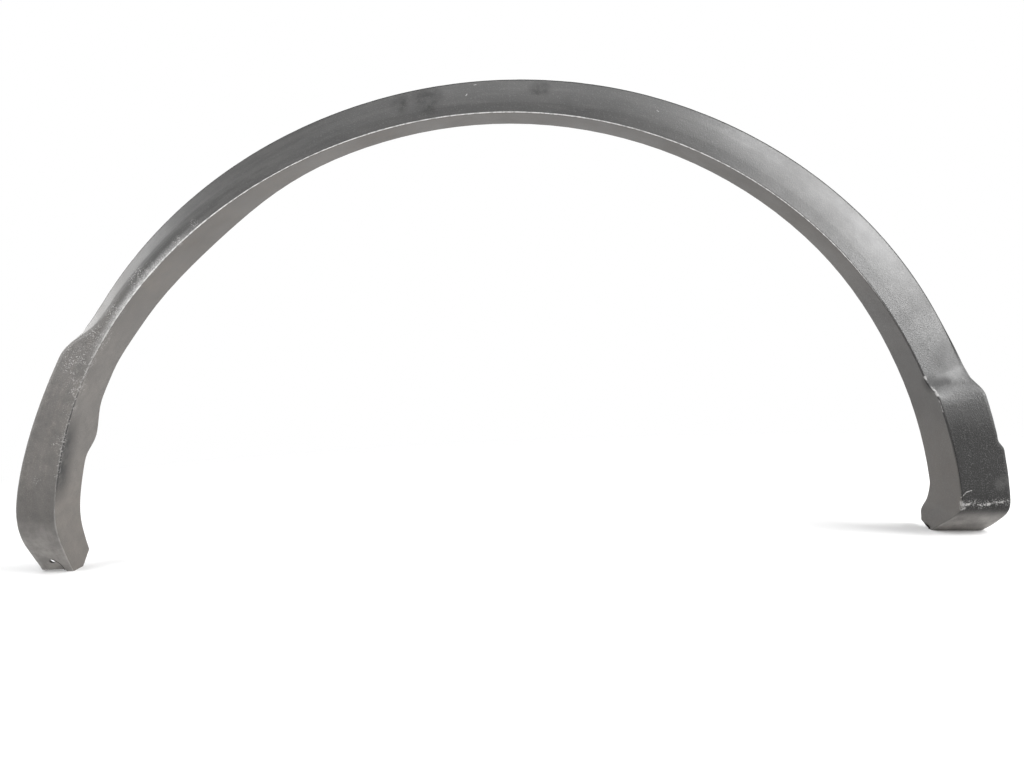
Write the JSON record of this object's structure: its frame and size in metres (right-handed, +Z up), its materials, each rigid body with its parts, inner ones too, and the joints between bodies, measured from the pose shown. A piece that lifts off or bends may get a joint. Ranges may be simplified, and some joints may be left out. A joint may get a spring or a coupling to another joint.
{
  "type": "wheel arch trim",
  "caption": "Dark grey grained plastic wheel arch trim: arched band with crease, lipped left side, stepped legs, curled feet, deep inner flange, and clip seats on the back",
  "frame": {"origin": "middle of the footprint, at the height of the lower edges of the feet", "axes": "+Z up, X along the car, -Y faces the outside of the car and +Y its body"},
  "size_m": [0.8868, 0.0718, 0.42],
  "materials": {
    "trim": "fine grained matt"
  },
  "bodies": {
    "root": {"arch_trim": "trim"}
  },
  "joints": []
}
